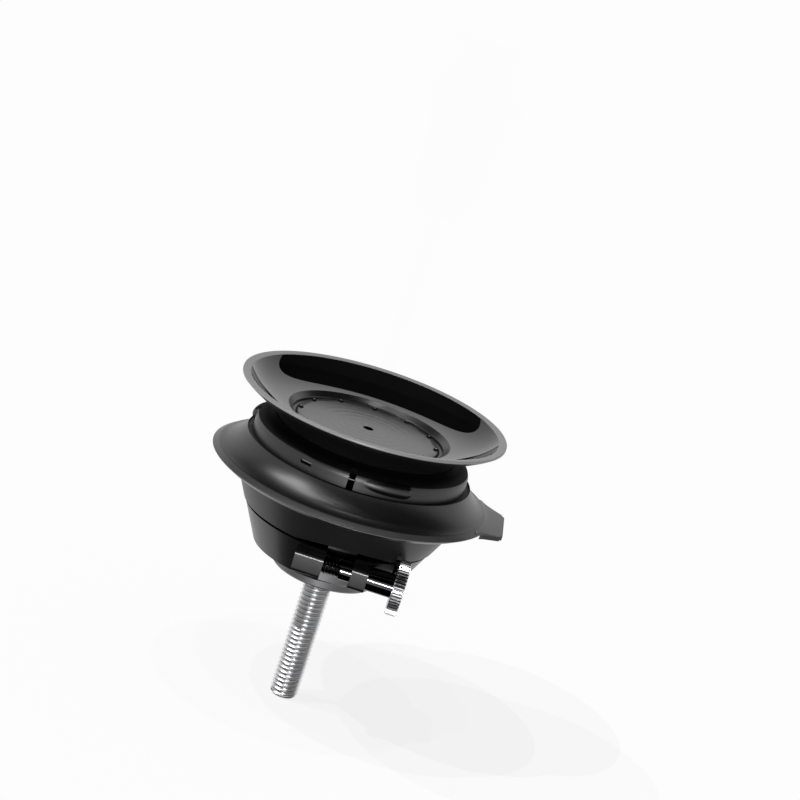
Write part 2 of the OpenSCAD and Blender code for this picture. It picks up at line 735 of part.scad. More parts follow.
// Rubber cup: a bead under the collar's lip, a neck, and a thin flared wall
module suction_cup() {
    inner_lip = rim_r - lip_w;
    foot_r = collar_bore - 0.15;
    bead_top = collar_top - collar_lip - fit;
    color("#111111") rotate_extrude() polygon(concat(
        [[cup_bore_r, disc_z], [carrier_step_r + fit, disc_z], [carrier_step_r + fit, seat_z],
         [foot_r, seat_z], [foot_r, bead_top], [cup_neck_r, bead_top], [cup_neck_r, collar_top + 0.3]],
        curve([cup_neck_r + 0.3, collar_top + 0.5], [rim_r - 5.6, collar_top + 3.4],
            [rim_r - 2.4, rim_z - lip_h - 1.8], [rim_r - 0.2, rim_z - lip_h], 10),
        [[rim_r, rim_z - lip_h + 0.15], [rim_r, rim_z - 0.1], [rim_r - 0.15, rim_z],
         [inner_lip + 0.1, rim_z - 0.2]],
        curve([inner_lip, rim_z - 0.3], [inner_lip - 2.4, disc_top + 2.2],
            [cup_floor_r + 3.4, disc_top + 1.3], [cup_floor_r, disc_top + 0.95], 12),
        [[cup_floor_r - 0.3, disc_top + 0.25], [cup_bore_r + 0.7, disc_top + 0.15],
         [cup_bore_r + 0.5, disc_top - 0.45], [cup_bore_r, disc_top - 0.5]]));
}

stem_adapter();
stem_bolt();
clamp_band();
thumbscrew();
spacer_sleeve();
bowl();
housing_screws();
collar();
gap_seal();
release_ring();
ring_plate();
lifter_plate();
lifter_pins();
return_spring();
valve_plunger();
plunger_clip();
valve_seal();
magnet_carrier();
yoke_plate();
magnet(1);  // magnet_1
magnet(2);  // magnet_2
magnet(3);  // magnet_3
magnet(4);  // magnet_4
contact_disc();
suction_cup();
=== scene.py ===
import json
import math

import bmesh
import bpy
from mathutils import Matrix, Vector


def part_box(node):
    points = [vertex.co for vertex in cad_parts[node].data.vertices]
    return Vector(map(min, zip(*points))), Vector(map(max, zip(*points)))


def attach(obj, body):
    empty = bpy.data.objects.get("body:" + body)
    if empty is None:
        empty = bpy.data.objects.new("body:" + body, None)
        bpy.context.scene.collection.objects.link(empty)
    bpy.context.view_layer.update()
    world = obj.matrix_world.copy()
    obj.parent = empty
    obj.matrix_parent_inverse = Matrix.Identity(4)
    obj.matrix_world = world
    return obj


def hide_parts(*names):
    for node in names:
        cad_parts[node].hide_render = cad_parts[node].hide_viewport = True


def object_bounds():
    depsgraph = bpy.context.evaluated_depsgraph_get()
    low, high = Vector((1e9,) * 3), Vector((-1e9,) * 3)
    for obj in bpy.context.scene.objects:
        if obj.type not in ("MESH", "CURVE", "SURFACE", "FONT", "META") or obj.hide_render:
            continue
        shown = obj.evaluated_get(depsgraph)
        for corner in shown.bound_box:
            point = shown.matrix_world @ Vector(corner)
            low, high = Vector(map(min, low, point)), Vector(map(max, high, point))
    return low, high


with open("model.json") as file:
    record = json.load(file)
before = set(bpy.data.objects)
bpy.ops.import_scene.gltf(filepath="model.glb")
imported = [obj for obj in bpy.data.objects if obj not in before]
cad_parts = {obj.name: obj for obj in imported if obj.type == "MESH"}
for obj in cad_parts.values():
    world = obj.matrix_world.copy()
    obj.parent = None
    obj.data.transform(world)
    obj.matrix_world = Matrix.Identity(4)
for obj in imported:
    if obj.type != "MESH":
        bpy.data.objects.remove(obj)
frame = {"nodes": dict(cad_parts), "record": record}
cad_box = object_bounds()

# Sizes in millimetres times this are metres, the scene's unit
MM = 0.001

# The colour mix node's two inputs and its output share their labels, so they go by number
MIX_A, MIX_B, MIX_OUT = 6, 7, 2

# Colour of painted shade, as black as a hollow too deep for light
PAINTED_SHADE_BLACK = (0.0012, 0.0012, 0.0012)

# A point on the mount's vertical axis
AXIS = (0.0, 0.0, 0.0)

# Heights, radii and the knob's end in millimetres, read from the frame
band_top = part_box("clamp_band")[1].z / MM
plate_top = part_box("ring_plate")[1].z / MM
collar_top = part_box("collar")[1].z / MM
rim_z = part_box("suction_cup")[1].z / MM
rim_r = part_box("suction_cup")[1].x / MM
disc_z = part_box("contact_disc")[0].z / MM
disc_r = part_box("contact_disc")[1].x / MM
knob_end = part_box("thumbscrew")[1].x / MM

# How many pips the disc has
pip_count = 12

# Sizes in millimetres that show on the pieces but that no box gives
collar_r = 22.4
window_depth = 2.9
vent_r = 1.05
pip_inset = 0.7
ripple_pitch = 1.9
grain_depth = 0.012
mark_depth = 0.006
knob_h = 2.3
knob_root_r = 5.3
knob_tip_r = 5.5

# Threads in millimetres, with the number of sides round them: M6 on the bolt, M4 on the screw
bolt_r = 3.0
bolt_thread = {"pitch": 1.0, "depth": 0.55, "chamfer": 0.6, "sides": 64}
bolt_thread_top = -2.8
screw_r = 2.0
screw_thread = {"pitch": 0.7, "depth": 0.36, "chamfer": 0.3, "sides": 48}
screw_thread_end = 3.35


# Camera, as the photo was taken: from the front, a little above, and rolled.
# It stands at this place in millimetres, and its line of sight has these degrees.
camera_place = (0.0, -424.79, 157.41)
camera_heading = -0.5797
camera_fall = 15.8075
camera_roll = 18.0748


def photo_camera():
    data = bpy.data.cameras.new("photo_camera")
    camera = bpy.data.objects.new("photo_camera", data)
    bpy.context.scene.collection.objects.link(camera)
    bpy.context.scene.camera = camera
    data.sensor_width = 36.0
    data.lens = 98.96
    data.clip_start = 0.01
    data.clip_end = 50.0
    turn = (Matrix.Rotation(math.radians(camera_heading), 4, "Z")
            @ Matrix.Rotation(math.radians(90.0 - camera_fall), 4, "X")
            @ Matrix.Rotation(math.radians(camera_roll), 4, "Z"))
    camera.matrix_world = Matrix.Translation(Vector(camera_place) * MM) @ turn


# A socket that can be added, multiplied and so on in plain expressions
class Value:
    def __init__(self, tree, socket):
        self.tree = tree
        self.socket = socket

    def maths(self, operation, *others, first=None):
        node = self.tree.nodes.new("ShaderNodeMath")
        node.operation = operation
        for i, item in enumerate(((first,) if first is not None else (self,)) + others):
            plug(self.tree, node.inputs[i], item)
        return Value(self.tree, node.outputs[0])

    def __add__(self, other):
        return self.maths("ADD", other)

    def __radd__(self, other):
        return self.maths("ADD", other)

    def __sub__(self, other):
        return self.maths("SUBTRACT", other)

    def __rsub__(self, other):
        return self.maths("SUBTRACT", self, first=other)

    def __mul__(self, other):
        return self.maths("MULTIPLY", other)

    def __rmul__(self, other):
        return self.maths("MULTIPLY", other)

    def __truediv__(self, other):
        return self.maths("DIVIDE", other)

    def __rtruediv__(self, other):
        return self.maths("DIVIDE", self, first=other)

    def power(self, other):
        return self.maths("POWER", other)

    def sine(self):
        return self.maths("SINE")

    def cosine(self):
        return self.maths("COSINE")

    def size(self):
        return self.maths("ABSOLUTE")

    def least(self, other):
        return self.maths("MINIMUM", other)

    def most(self, other):
        return self.maths("MAXIMUM", other)

    def floored(self):
        return self.maths("FLOOR")

    def fraction(self):
        return self.maths("FRACT")

    def within(self, low=0.0, high=1.0):
        return self.most(low).least(high)

    def step(self, low, high):
        """0 below low, 1 above high, and smooth between them."""
        t = ((self - low) / (high - low)).within()
        return t * t * (3.0 - 2.0 * t)


def plug(tree, socket, item):
    """Links a socket to another one, or writes a plain number, colour or vector in it."""
    if isinstance(item, Value):
        tree.links.new(item.socket, socket)
    elif isinstance(item, bpy.types.NodeSocket):
        tree.links.new(item, socket)
    else:
        socket.default_value = item


def new_node(tree, kind, settings=None, inputs=None, out=0):
    """One node, with its settings set first; gives back its output, or itself where out is None."""
    made = tree.nodes.new(kind)
    for key, value in (settings or {}).items():
        setattr(made, key, value)
    for key, value in (inputs or {}).items():
        plug(tree, made.inputs[key], value)
    return made if out is None else Value(tree, made.outputs[out])


# One finish: a material with its nodes
class Finish:
    def __init__(self, name):
        self.material = bpy.data.materials.new(name)
        self.material.use_nodes = True
        self.tree = self.material.node_tree
        self.tree.nodes.clear()
        self.output = self.tree.nodes.new("ShaderNodeOutputMaterial")

    def node(self, kind, settings=None, inputs=None, out=0):
        return new_node(self.tree, kind, settings, inputs, out)

    def place(self):
        return self.node("ShaderNodeTexCoord", out="Object")

    def along(self, axis):
        return self.node("ShaderNodeSeparateXYZ", inputs={0: self.place()}, out=axis)

    def grain(self, size_mm, detail=2.0, roughness=0.5):
        """Noise whose features are about size_mm across."""
        return self.node("ShaderNodeTexNoise", inputs={
            "Vector": self.place(), "Scale": 1.0 / (size_mm * MM), "Detail": detail,
            "Roughness": roughness})

    def bump(self, height, strength, depth_mm):
        return self.node("ShaderNodeBump", inputs={
            "Height": height, "Strength": strength, "Distance": depth_mm * MM})

    def tint(self, mask, dark, light):
        """Colour that goes from dark to light as the mask goes from 0 to 1."""
        under = dark if isinstance(dark, Value) else (*dark, 1.0)
        return self.node("ShaderNodeMix", {"data_type": "RGBA"}, {
            "Factor": mask, MIX_A: under, MIX_B: (*light, 1.0)}, out=MIX_OUT)

    def surface(self, shade=None, **inputs):
        """The shader, which turns to plain black where shade is 1: painted shade, as deep hollows
        show.
        """
        names = {"colour": "Base Color", "roughness": "Roughness", "metal": "Metallic",
                 "normal": "Normal", "specular": "Specular IOR Level"}
        shader = self.node("ShaderNodeBsdfPrincipled", inputs={
            names[key]: value for key, value in inputs.items()}, out=None)
        shown = Value(self.tree, shader.outputs[0])
        if shade is not None:
            black = self.node("ShaderNodeBsdfDiffuse", inputs={"Color": (*PAINTED_SHADE_BLACK, 1.0)})
            shown = self.node("ShaderNodeMixShader", inputs={0: shade, 1: shown, 2: black})
        self.tree.links.new(shown.socket, self.output.inputs["Surface"])
        return self.material

    def around(self, axis, centre):
        """Distance in metres from an axis (0, 1 or 2) through a centre in metres."""
        split = self.node("ShaderNodeSeparateXYZ", inputs={0: self.place()}, out=None)
        a, b = [Value(self.tree, split.outputs[i]) - centre[i] for i in range(3) if i != axis]
        return (a * a + b * b).power(0.5)


def stripe(value, low, high, soft):
    """1 between two sizes in millimetres and 0 outside them, with soft edges."""
    rise = value.step((low - soft) * MM, low * MM)
    fall = value.step(high * MM, (high + soft) * MM)
    return rise * (1.0 - fall)


def grey(v):
    """A grey that leans a little to blue, as black plastic does."""
    return (v, v, v * 1.03)


def moulded(name, dark, light, rough, grain_mm=0.22, specular=0.5, seam_shade=None, highlight_band=None,
            highlight_grey=0.09):
    """Satin moulded plastic: a spark-eroded grain, with softly clouded colour and gloss.

    Two heights may be given for a black band of painted shade along a seam, and two for a paler band
    painted as a highlight."""
    f = Finish(name)
    cloud = f.grain(9.0, 3.0)
    fine = f.grain(grain_mm, 2.0, 0.6)
    # Painted shade: a black band between the given seam heights
    shade = stripe(f.along("Z"), *seam_shade, 0.05) if seam_shade else None
    colour = f.tint(cloud, grey(dark), grey(light))
    # Painted highlight: a paler band between the given heights
    if highlight_band:
        colour = f.tint(stripe(f.along("Z"), *highlight_band, 0.03), colour, grey(highlight_grey))
    return f.surface(
        colour=colour,
        roughness=rough - 0.04 + 0.06 * cloud + 0.04 * fine,
        normal=f.bump(fine, 0.5, grain_depth),
        specular=specular, shade=shade)


def cup_rubber(name, dark, light, rough):
    """Moulded rubber: polished inside the cup, satin outside it, and greyer on its lip as a painted
    highlight.
    """
    f = Finish(name)
    cloud = f.grain(14.0, 2.0)
    return f.surface(
        colour=f.tint(cloud, grey(dark), grey(light)),
        roughness=rough,
        specular=0.5)


def disc_plastic():
    """Disc in the cup: faint turned ripples, a vent hole painted black as shade, and pips with
    painted shade round their feet and a painted highlight on their crowns.
    """
    f = Finish("disc_turned_rings")
    radius = f.around(2, AXIS)
    ripple = (radius * (2.0 * math.pi / (ripple_pitch * MM))).sine()
    fade = 1.0 - radius.step(8.0 * MM, 12.5 * MM)
    split = f.node("ShaderNodeSeparateXYZ", inputs={0: f.place()}, out=None)
    turn = f.node("ShaderNodeMath", {"operation": "ARCTAN2"}, {
        0: Value(f.tree, split.outputs[1]), 1: Value(f.tree, split.outputs[0])})
    pips_a_radian = pip_count / (2.0 * math.pi)
    share = (turn * pips_a_radian + (pip_count + 0.5)).fraction() - 0.5
    reach = (disc_r - pip_inset) * MM
    across = radius - reach
    along = share * (reach / pips_a_radian)
    from_pip = (across * across + along * along).power(0.5)
    # Painted shade: a dark ring round the foot of each pip
    pips = stripe(from_pip, 0.26, 0.62, 0.08)
    # Painted highlight: a paler spot on each pip's crown
    pip_highlight = 1.0 - from_pip.step(0.12 * MM, 0.3 * MM)
    # Painted shade: black inside the vent hole's radius
    vent = 1.0 - radius.step(vent_r * MM, (vent_r + 0.1) * MM)
    fine = f.grain(0.3, 2.0)
    cloud = f.grain(6.0, 2.0)
    return f.surface(
        colour=f.tint((0.1 * cloud).most(pip_highlight), grey(0.016), grey(0.24)),
        roughness=0.2 + 0.06 * cloud,
        normal=f.bump(ripple * fade + 0.12 * fine, 0.45, 0.02),
        specular=0.5, shade=(0.9 * pips).most(vent))


def powder_coat():
    """Satin powder coat of the clamp band, with a fine orange peel and painted shade along its top
    edge under the bowl.
    """
    f = Finish("band_powder_coat")
    peel = f.grain(0.5, 1.0)
    cloud = f.grain(7.0, 3.0)
    # Painted shade: a black band at the clamp band's top edge, under the bowl
    return f.surface(
        colour=f.tint(cloud, grey(0.002), grey(0.004)),
        roughness=0.29 + 0.06 * cloud,
        normal=f.bump(peel, 0.4, 0.02),
        specular=0.55, shade=stripe(f.along("Z"), band_top - 0.35, band_top + 0.1, 0.08))


def turned_metal(name, colour, rough, axis_scale, groove_shade=None):
    """Turned or drawn metal: fine tool marks along one axis, and a little cloudiness.

    Thread roots and knurl grooves may be darkened by painted shade, given as axis, centre, root and
    crest radius, and the two ends."""
    f = Finish(name)
    marks = f.node("ShaderNodeTexNoise", inputs={
        "Vector": f.node("ShaderNodeVectorMath", {"operation": "MULTIPLY"},
                         {0: f.place(), 1: tuple(s / MM for s in axis_scale)}),
        "Scale": 1.0, "Detail": 2.0})
    cloud = f.grain(3.0, 2.0)
    low = tuple(c * 0.88 for c in colour)
    shade = None
    # Painted shade: darkens the thread roots or knurl grooves
    if groove_shade:
        axis, centre, root, crest, ends = groove_shade
        deep = 1.0 - f.around(axis, centre).step(root * MM, crest * MM)
        shade = 0.85 * deep * stripe(f.along("XYZ"[axis]), *ends, 0.05)
    return f.surface(
        colour=f.tint(cloud, low, colour),
        roughness=rough - 0.03 + 0.05 * marks + 0.03 * cloud,
        metal=1.0,
        normal=f.bump(marks, 0.3, mark_depth), shade=shade)


def carrier_plastic(line_mm):
    """The magnets' carrier, whose noses show through the collar: painted black as shade, but for a
    thin painted highlight across the top of each nose.
    """
    f = Finish("carrier_moulded")
    fine = f.grain(0.2, 2.0)
    # Painted highlight: a thin pale band; everything else is painted shade
    light = stripe(f.along("Z"), line_mm + 0.1, line_mm + 0.24, 0.05)
    return f.surface(
        colour=f.tint(fine, grey(0.10), grey(0.16)),
        roughness=0.35 + 0.1 * fine,
        normal=f.bump(fine, 0.4, 0.01),
        specular=0.5, shade=1.0 - light)


def collar_plastic():
    """The upper housing, with painted shade: dark in the hollow under the cup and under each ramp."""
    f = Finish("collar_moulded")
    cloud = f.grain(9.0, 3.0)
    fine = f.grain(0.22, 2.0, 0.6)
    height = f.along("Z")
    # Painted shade: black in the hollow under the cup
    hollow = height.step((collar_top - 1.75) * MM, (collar_top - 1.5) * MM)
    out = f.around(2, AXIS).step((collar_r + 0.05) * MM, (collar_r + 0.2) * MM)
    ramp_low, ramp_high = collar_top - 2.9, collar_top - 2.15
    # Painted shade: dark on each ramp outside its crest band
    under = out * (1.0 - stripe(height, ramp_low, ramp_high, 0.3))
    return f.surface(
        colour=f.tint(cloud, grey(0.0035), grey(0.0060)),
        roughness=0.36 + 0.06 * cloud + 0.04 * fine,
        normal=f.bump(fine, 0.5, grain_depth),
        specular=0.5, shade=(0.88 * hollow).most(0.8 * under))


def soft_seal():
    """Matt rubber of the seals."""
    f = Finish("seal_matt")
    fine = f.grain(0.15, 2.0)
    return f.surface(
        colour=f.tint(fine, grey(0.008), grey(0.014)),
        roughness=0.6 + 0.1 * fine,
        normal=f.bump(fine, 0.4, 0.01))


def middle(node_name):
    low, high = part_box(node_name)
    return (low + high) / 2


finishes = {
    # The housing's black band at its seam with the clamp band is painted shade
    "housing": moulded("housing_moulded", 0.0035, 0.0060, 0.40, seam_shade=(band_top, band_top + 0.16)),
    "collar": collar_plastic(),
    # The carrier is painted shade but for a painted highlight on its noses
    "carrier": carrier_plastic(collar_top - window_depth),
    # The ring's paler band just above the plate is a painted highlight
    "ring": moulded("ring_moulded", 0.0018, 0.0032, 0.35, grain_mm=0.18,
                    highlight_band=(plate_top + 0.1, plate_top + 0.9), highlight_grey=0.028),
    # The plate's paler top edge is a painted highlight
    "plate": moulded("plate_moulded", 0.0060, 0.0090, 0.34, highlight_band=(plate_top - 0.3, plate_top)),
    "inner": moulded("inner_moulded", 0.035, 0.045, 0.5),
    "cup": cup_rubber("cup_gloss", 0.002, 0.004, 0.0),
    "cup_outside": cup_rubber("cup_satin", 0.003, 0.006, 0.3),
    # The lip's lighter grey is a painted highlight
    "cup_lip": cup_rubber("cup_lip_painted_highlight", 0.14, 0.17, 0.4),
    # The cup's root, seen through the collar's slot, is a near-black copy with little gloss: painted
    # shade
    "cup_root": moulded("cup_root_painted_shade", 0.001, 0.002, 0.8, specular=0.05),
    "disc": disc_plastic(),
    "band": powder_coat(),
    "seal": soft_seal(),
    "cap": turned_metal("cap_anodised", (0.17, 0.17, 0.175), 0.36, (0.4, 0.4, 9.0)),
    # The bolt's thread roots carry painted shade
    "bolt": turned_metal("bolt_zinc", (0.80, 0.80, 0.81), 0.34, (2.0, 2.0, 8.0),
                         groove_shade=(2, AXIS, bolt_r - 0.65, bolt_r - 0.2,
                                 (-50.0, bolt_thread_top - 0.1))),
    # The knob's knurl grooves carry painted shade
    "knob": turned_metal("knob_nickel", (0.55, 0.55, 0.56), 0.24, (8.0, 1.0, 1.0),
                         groove_shade=(0, middle("thumbscrew"), knob_root_r, knob_tip_r,
                                 (knob_end - knob_h + 0.1, knob_end - 0.12))),
    "shank": turned_metal("shank_black_nickel", (0.085, 0.085, 0.088), 0.08, (8.0, 1.0, 1.0)),
    "spring": turned_metal("spring_wire", (0.5, 0.5, 0.5), 0.3, (2.0, 2.0, 2.0)),
    "magnet": turned_metal("magnet_nickel", (0.62, 0.6, 0.56), 0.2, (1.0, 1.0, 6.0)),
}

# What each of the CAD's nodes is finished in
node_finish = {
    "stem_adapter": "cap", "stem_bolt": "bolt", "clamp_band": "band", "thumbscrew": "knob",
    "spacer_sleeve": "shank", "bowl": "housing", "housing_screws": "bolt", "collar": "collar",
    "gap_seal": "seal", "release_ring": "ring", "ring_plate": "plate", "lifter_plate": "inner",
    "lifter_pins": "magnet", "return_spring": "spring", "valve_plunger": "inner",
    "plunger_clip": "spring", "valve_seal": "seal", "magnet_carrier": "carrier",
    "yoke_plate": "bolt", "magnet_1": "magnet", "magnet_2": "magnet", "magnet_3": "magnet",
    "magnet_4": "magnet", "contact_disc": "disc", "suction_cup": "cup",
}
node_body = {n: b for b, ns in frame["record"]["behaviour"]["bodies"].items() for n in ns}

for name, key in node_finish.items():
    node = frame["nodes"][name]
    node.data.materials.clear()
    node.data.materials.append(finishes[key])


def seat(piece, node_name, *more):
    """Puts a finished piece on its body in place of the CAD nodes that it shows."""
    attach(piece, node_body[node_name])
    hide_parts(node_name, *more)
    return piece


def link(name, mesh, *materials):
    piece = bpy.data.objects.new(name, mesh)
    bpy.context.scene.collection.objects.link(piece)
    for material in materials:
        mesh.materials.append(material)
    return piece


def plain_mesh(bm, name):
    """The built triangles and faces as a mesh."""
    mesh = bpy.data.meshes.new(name)
    bm.to_mesh(mesh)
    bm.free()
    return mesh


def merged(node_name):
    """A CAD node's triangles as one joined shell."""
    bm = bmesh.new()
    bm.from_mesh(frame["nodes"][node_name].data)
    bmesh.ops.remove_doubles(bm, verts=bm.verts, dist=2e-7)
    return bm


def smooth_by_angle(bm, degrees):
    for face in bm.faces:
        face.smooth = True
    for edge in bm.edges:
        edge.smooth = len(edge.link_faces) == 2 and edge.calc_face_angle(0.0) < math.radians(degrees)


def dressed(node_name, degrees):
    """The CAD node's own form, joined and smoothly shaded, so that no facet shows."""
    bm = merged(node_name)
    smooth_by_angle(bm, degrees)
    mesh = plain_mesh(bm, node_name + "_form")
    piece = link(node_name + "_shown", mesh, finishes[node_finish[node_name]])
    return seat(piece, node_name)


# Suction cup: one smooth turned shell, on the same curves as its solid
def bezier(points, steps):
    a, b, c, d = points
    rows = []
    for i in range(steps + 1):
        t = i / steps
        w = ((1 - t) ** 3, 3 * t * (1 - t) ** 2, 3 * t * t * (1 - t), t ** 3)
        rows.append(tuple(w[0] * p + w[1] * q + w[2] * r + w[3] * s
                          for p, q, r, s in zip(a, b, c, d)))
    return rows


def turned_mesh(name, profile, around, kinds):
    """Revolves a closed profile of (radius, height) in millimetres about Z.

    kinds gives the material's number for each row of faces."""
    bm = bmesh.new()
    rings = []
    for r, z in profile:
        rings.append([bm.verts.new((r * MM * math.cos(2 * math.pi * i / around),
                                    r * MM * math.sin(2 * math.pi * i / around), z * MM))
                      for i in range(around)])
    count = len(rings)
    for k in range(count):
        low, high = rings[k], rings[(k + 1) % count]
        for i in range(around):
            j = (i + 1) % around
            bm.faces.new((low[i], low[j], high[j], high[i])).material_index = kinds[k]
    bmesh.ops.recalc_face_normals(bm, faces=bm.faces)
    smooth_by_angle(bm, 32.0)
    return plain_mesh(bm, name)


def suction_cup():
    disc_h = 1.5
    disc_top = disc_z + disc_h
    lip_h, lip_w = 0.6, 1.7
    inner = rim_r - lip_w
    neck, bore, floor_r = 18.7, 15.2, 16.9
    ledge_r, bead_r = 17.4, 20.75
    seat_z = collar_top - 2.0
    bead_top = collar_top - 0.9
    outer = bezier([(neck + 0.3, collar_top + 0.5), (rim_r - 5.6, collar_top + 3.4),
                    (rim_r - 2.4, rim_z - lip_h - 1.8), (rim_r - 0.2, rim_z - lip_h)], 40)
    hollow = bezier([(inner, rim_z - 0.3), (inner - 2.4, disc_top + 2.2),
                     (floor_r + 3.4, disc_top + 1.3), (floor_r, disc_top + 0.95)], 56)
    edge = [(rim_r, rim_z - lip_h + 0.15), (rim_r, rim_z - 0.2), (rim_r - 0.03, rim_z - 0.1),
            (rim_r - 0.09, rim_z - 0.03), (rim_r - 0.18, rim_z), (rim_r - 0.24, rim_z - 0.006),
            (rim_r - 0.6, rim_z - 0.04), (inner + 0.35, rim_z - 0.15),
            (inner + 0.15, rim_z - 0.19), (inner + 0.06, rim_z - 0.23)]
    step = [(floor_r - 0.12, disc_top + 0.84), (floor_r - 0.4, disc_top + 0.6),
            (floor_r - 0.7, disc_top + 0.38), (bore + 0.85, disc_top + 0.22),
            (bore + 0.74, disc_top + 0.16), (bore + 0.64, disc_top + 0.08),
            (bore + 0.56, disc_top - 0.1), (bore + 0.5, disc_top - 0.45), (bore, disc_top - 0.5)]
    root = [(bore, disc_z), (ledge_r, disc_z), (ledge_r, seat_z), (bead_r, seat_z),
            (bead_r, bead_top), (neck, bead_top), (neck, collar_top + 0.2)]
    profile = root + outer + edge + hollow + step
    kinds = ([3] * (len(root) - 1) + [1] * len(outer) + [2] * len(edge)
             + [0] * (len(hollow) - 1) + [1] * (len(step) + 1) + [3])
    mesh = turned_mesh("suction_cup_form", profile, 288, kinds)
    piece = link("suction_cup_shown", mesh, *[finishes[key] for key in (
        "cup", "cup_outside", "cup_lip", "cup_root")])
    return seat(piece, "suction_cup")


# A screw thread as Geometry Nodes: rows of points follow the helix
def thread_tree():
    tree = bpy.data.node_groups.new("rolled_thread", "GeometryNodeTree")
    face = tree.interface
    face.new_socket("Geometry", in_out="OUTPUT", socket_type="NodeSocketGeometry")
    for label, kind in (("Thread radius", "Float"), ("Thread depth", "Float"), ("Pitch", "Float"),
                        ("Length", "Float"), ("Tip chamfer", "Float"), ("Rows per pitch", "Int"),
                        ("Sides", "Int")):
        face.new_socket(label, in_out="INPUT", socket_type="NodeSocket" + kind)
    face.new_socket("Finish", in_out="INPUT", socket_type="NodeSocketMaterial")
    given = tree.nodes.new("NodeGroupInput")
    give = {s.name: Value(tree, s) for s in given.outputs if s.name}

    def add(kind, **inputs):
        named = {key.replace("_", " "): value for key, value in inputs.items()}
        return new_node(tree, kind, inputs=named)

    rows_a_pitch, sides, pitch = give["Rows per pitch"], give["Sides"], give["Pitch"]
    length = give["Length"]
    rows = (length / pitch + 2.0) * rows_a_pitch + 1.0
    rows = rows.floored()
    columns = sides + 1.0
    grid = add("GeometryNodeMeshGrid", Vertices_X=rows, Vertices_Y=columns)
    index = add("GeometryNodeInputIndex")
    row = (index / columns + 0.0001).floored()
    column = index - row * columns
    share = column / sides
    turn = share * (2.0 * math.pi)
    along = (row / rows_a_pitch - 1.5 + share) * pitch
    wave = ((row / rows_a_pitch).fraction() * 2.0 - 1.0).size()
    cut = (wave * 1.3 - 0.15).within() * give["Thread depth"]
    height = along.most(0.0).least(length)
    radius = (give["Thread radius"] - cut).least(give["Thread radius"] - give["Tip chamfer"] + height)
    place = add("ShaderNodeCombineXYZ", X=radius * turn.cosine(), Y=radius * turn.sine(), Z=height)
    moved = add("GeometryNodeSetPosition", Geometry=grid, Position=place)
    joined = add("GeometryNodeMergeByDistance", Geometry=moved, Distance=1e-6)
    real = add("GeometryNodeRealizeInstances", Geometry=joined)
    painted = add("GeometryNodeSetMaterial", Geometry=real, Material=give["Finish"])
    new_node(tree, "NodeGroupOutput", inputs={"Geometry": painted}, out=None)
    return tree


def built(tree, name, **sizes):
    """Runs a Geometry Nodes tree with named sizes and gives back its plain mesh."""
    holder = link(name + "_maker", bpy.data.meshes.new(name + "_maker"))
    modifier = holder.modifiers.new("make", "NODES")
    modifier.node_group = tree
    labels = {k.replace("_", " ").lower(): v for k, v in sizes.items()}
    for item in tree.interface.items_tree:
        if item.in_out == "INPUT":
            modifier[item.identifier] = labels[item.name.lower()]
    dg = bpy.context.evaluated_depsgraph_get()
    mesh = bpy.data.meshes.new_from_object(holder.evaluated_get(dg))
    holder.modifiers.clear()
    bpy.data.objects.remove(holder)
    return mesh


def close_holes(bm):
    rims = [e for e in bm.edges if len(e.link_faces) == 1]
    bmesh.ops.holes_fill(bm, edges=rims, sides=0)


def add_mesh(bm, mesh, turn):
    """Adds a mesh, turned to its place, and its ends closed."""
    part = bmesh.new()
    part.from_mesh(mesh)
    bmesh.ops.dissolve_degenerate(part, dist=1e-7, edges=part.edges)
    close_holes(part)
    bmesh.ops.recalc_face_normals(part, faces=part.faces)
    part.transform(turn)
    made = plain_mesh(part, "part")
    bm.from_mesh(made)
    bpy.data.meshes.remove(made)


def threaded(node_name, cut_at, cut_way, mesh, turn, materials, pick):
    """A CAD fastener whose plain end is cut off and given its real thread."""
    bm = merged(node_name)
    bmesh.ops.bisect_plane(bm, geom=bm.verts[:] + bm.edges[:] + bm.faces[:], dist=1e-7,
                           plane_co=cut_at, plane_no=cut_way, clear_outer=True)
    close_holes(bm)
    add_mesh(bm, mesh, turn)
    smooth_by_angle(bm, 24.0)
    for face in bm.faces:
        face.material_index = pick(face.calc_center_median())
    made = plain_mesh(bm, node_name + "_form")
    return seat(link(node_name + "_shown", made, *materials), node_name)


def thread_mesh(tree, name, radius, length, form, finish):
    """A thread of this length in metres, with its other sizes in millimetres."""
    return built(tree, name, thread_radius=radius * MM, thread_depth=form["depth"] * MM,
                 pitch=form["pitch"] * MM, length=length, tip_chamfer=form["chamfer"] * MM,
                 rows_per_pitch=8, sides=form["sides"], finish=finish)


def stem_bolt(tree):
    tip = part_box("stem_bolt")[0]
    thread_top = bolt_thread_top * MM
    mesh = thread_mesh(tree, "stem_thread", bolt_r, thread_top - tip.z, bolt_thread,
                       finishes["bolt"])
    return threaded("stem_bolt", (0, 0, thread_top), (0, 0, -1), mesh,
                    Matrix.Translation((0, 0, tip.z)), [finishes["bolt"]], lambda c: 0)


def thumbscrew(tree):
    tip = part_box("thumbscrew")[0]
    axis = middle("thumbscrew")
    thread_end = screw_thread_end * MM
    mesh = thread_mesh(tree, "screw_thread", screw_r, thread_end - tip.x, screw_thread,
                       finishes["shank"])
    turn = Matrix.Translation((tip.x, axis.y, axis.z)) @ Matrix.Rotation(math.pi / 2, 4, "Y")
    knob_x = (knob_end - knob_h - 0.01) * MM
    return threaded("thumbscrew", (thread_end, 0, 0), (-1, 0, 0), mesh, turn,
                    [finishes["shank"], finishes["knob"]],
                    lambda c: 1 if c.x > knob_x else 0)


